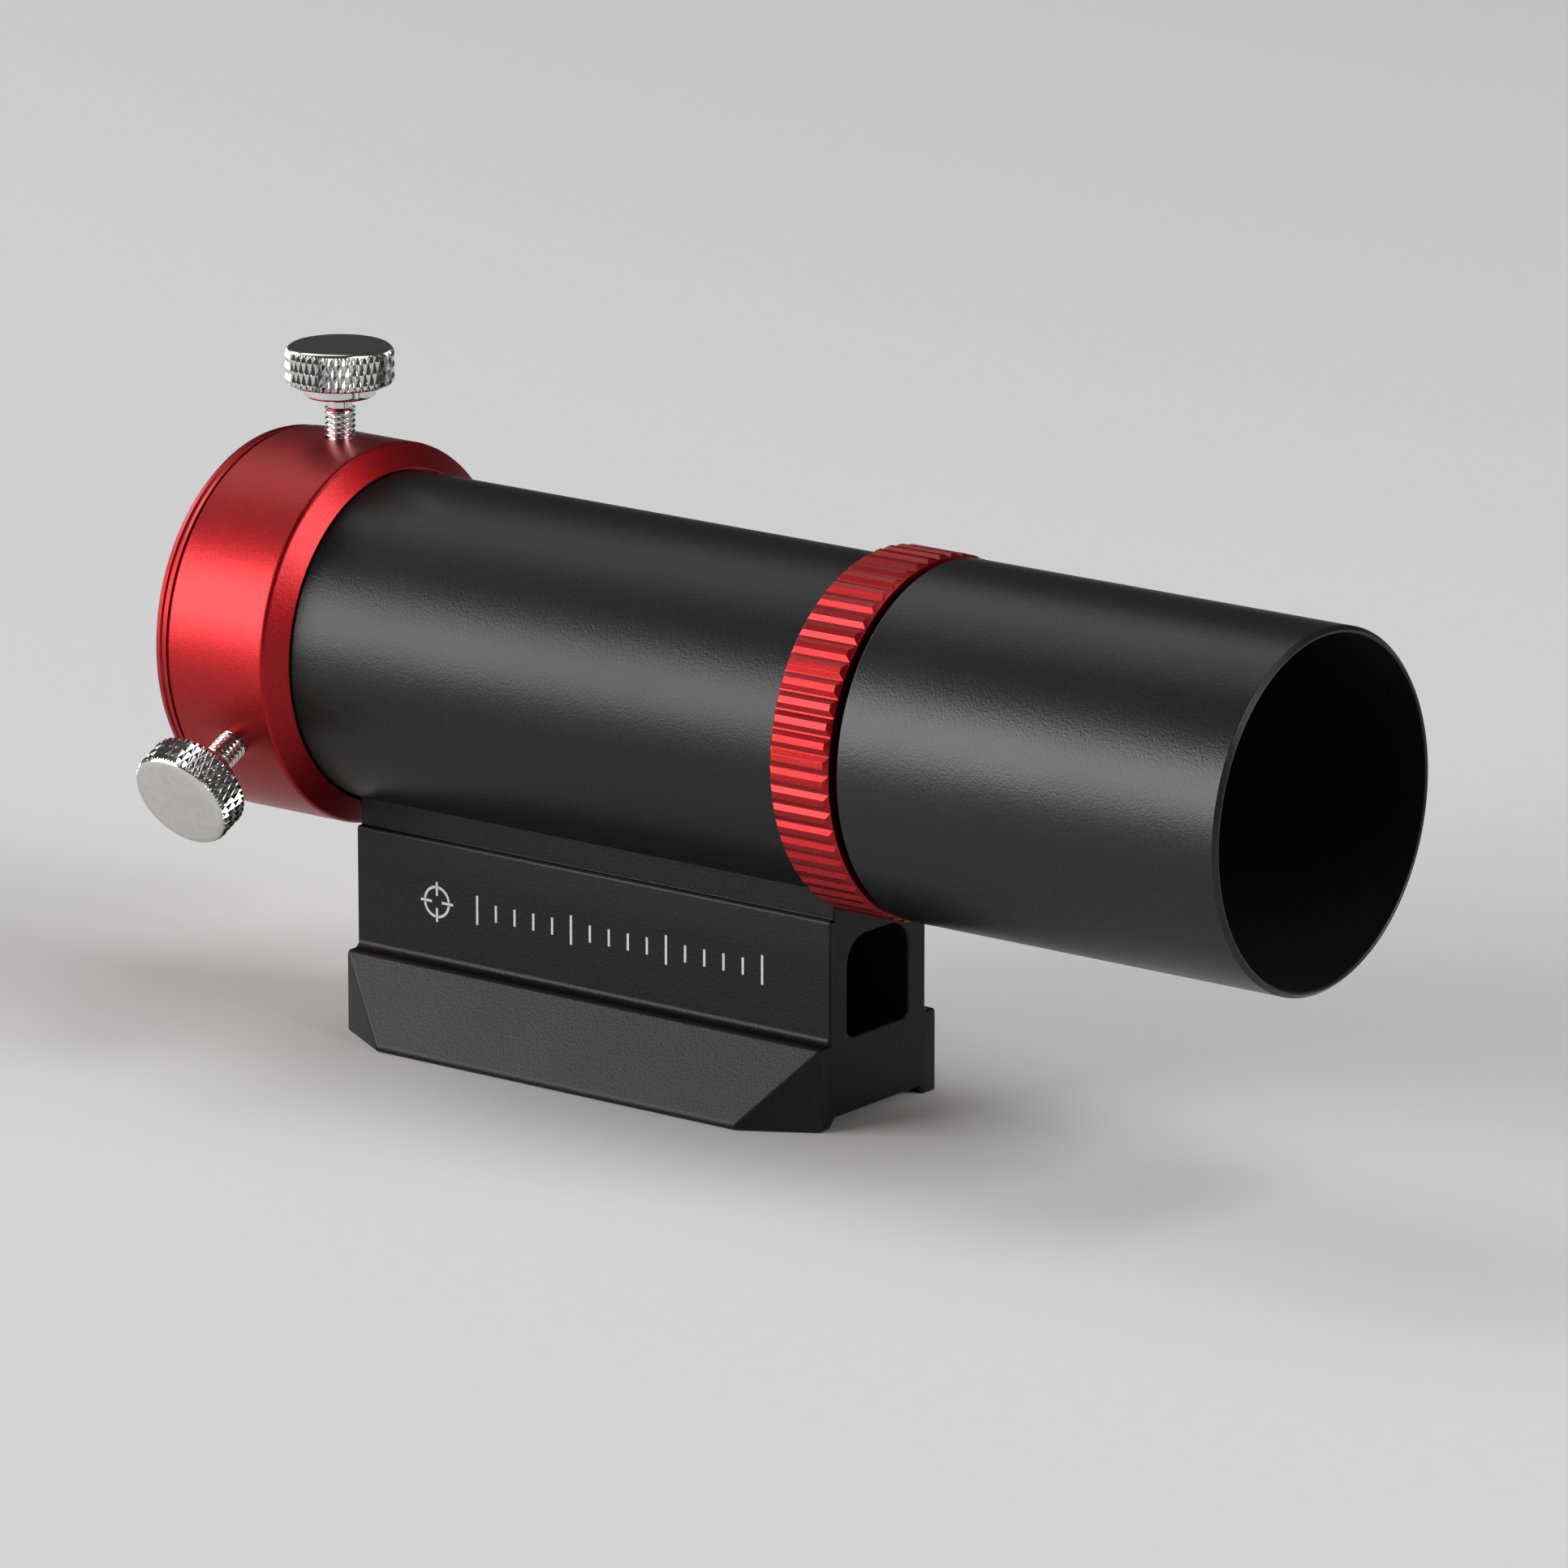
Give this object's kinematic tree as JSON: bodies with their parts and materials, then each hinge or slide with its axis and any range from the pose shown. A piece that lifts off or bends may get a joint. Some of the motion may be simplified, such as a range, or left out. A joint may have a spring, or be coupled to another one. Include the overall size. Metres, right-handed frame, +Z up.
{
  "type": "finder scope",
  "caption": "Small refracting finder scope: tube on a dovetail foot, red rear adapter with knurled thumbscrews, knurled lock ring, screw-focused objective and dew shield.",
  "frame": {"origin": "middle of the dovetail foot's underside, on the middle plane", "axes": "+X along the optical axis towards the objective, +Z up from the foot, +Y to the left when looking forwards"},
  "size_m": [0.162, 0.0704, 0.0856],
  "materials": {
    "black_anodised": "bead-blasted, satin black anodised",
    "red_anodised": "bead-blasted, satin red anodised",
    "bright_nickel": "polished nickel plate",
    "white_nylon": "plain moulded nylon",
    "black_oxide_steel": "black oxide",
    "black_rubber": "matte",
    "matte_black": "flat anti-reflection black",
    "pale_marking": "laser-engraved marking",
    "coated_glass": "multi-coated optical glass"
  },
  "bodies": {
    "scope_body": {"main_tube": "black_anodised", "mounting_base": "black_anodised", "rear_adapter": "red_anodised", "base_screws": "black_oxide_steel", "base_screw_washers": "black_oxide_steel", "front_baffle": "matte_black", "rear_baffle": "matte_black"},
    "lock_ring": {"focus_lock_ring": "red_anodised"},
    "lens_group": {"crown_lens": "coated_glass", "flint_lens": "coated_glass", "lens_spacer_ring": "black_anodised", "lens_cushion_ring": "black_rubber"},
    "objective": {"objective_cell": "black_anodised", "dew_shield": "black_anodised", "lens_retaining_ring": "black_anodised"},
    "tip_top": {"thumbscrew_tip_top": "white_nylon"},
    "screw_top": {"thumbscrew_top": "bright_nickel"},
    "tip_left": {"thumbscrew_tip_left": "white_nylon"},
    "screw_left": {"thumbscrew_left": "bright_nickel"},
    "tip_right": {"thumbscrew_tip_right": "white_nylon"},
    "screw_right": {"thumbscrew_right": "bright_nickel"}
  },
  "joints": [
    {"name": "lock_ring_turn", "type": "hinge", "parent": "scope_body", "child": "lock_ring", "pos_m": [0.0422, 0, 0.0491], "axis": [1, 0, 0], "range_deg": [-90, 360]},
    {"name": "focus_travel", "type": "slide", "parent": "scope_body", "child": "lens_group", "axis": [1, 0, 0], "range_m": [-0.0008, 0.006]},
    {"name": "focus_turn", "type": "hinge", "parent": "lens_group", "child": "objective", "pos_m": [0.06, 0, 0.0491], "axis": [1, 0, 0], "range_deg": [-385, 2882]},
    {"name": "thumbscrew_top_travel", "type": "slide", "parent": "scope_body", "child": "tip_top", "axis": [0, 0, -1], "range_m": [-0.0014, 0.0052]},
    {"name": "thumbscrew_top_turn", "type": "hinge", "parent": "tip_top", "child": "screw_top", "pos_m": [-0.0476, 0, 0.0821], "axis": [0, 0, -1], "range_deg": [-721, 2676]},
    {"name": "thumbscrew_left_travel", "type": "slide", "parent": "scope_body", "child": "tip_left", "axis": [0, 0.891, 0.454], "range_m": [-0.0014, 0.0052]},
    {"name": "thumbscrew_left_turn", "type": "hinge", "parent": "tip_left", "child": "screw_left", "pos_m": [-0.0476, -0.0294, 0.03412], "axis": [0, 0.891, 0.454], "range_deg": [-721, 2676]},
    {"name": "thumbscrew_right_travel", "type": "slide", "parent": "scope_body", "child": "tip_right", "axis": [0, -0.891, 0.454], "range_m": [-0.0014, 0.0052]},
    {"name": "thumbscrew_right_turn", "type": "hinge", "parent": "tip_right", "child": "screw_right", "pos_m": [-0.0476, 0.0294, 0.03412], "axis": [0, -0.891, 0.454], "range_deg": [-721, 2676]}
  ],
  "couplings": [
    {"joint": "focus_turn", "follows": "focus_travel", "rad_per_m": 8377.6},
    {"joint": "thumbscrew_top_turn", "follows": "thumbscrew_top_travel", "rad_per_m": 8976},
    {"joint": "thumbscrew_left_turn", "follows": "thumbscrew_left_travel", "rad_per_m": 8976},
    {"joint": "thumbscrew_right_turn", "follows": "thumbscrew_right_travel", "rad_per_m": 8976}
  ]
}
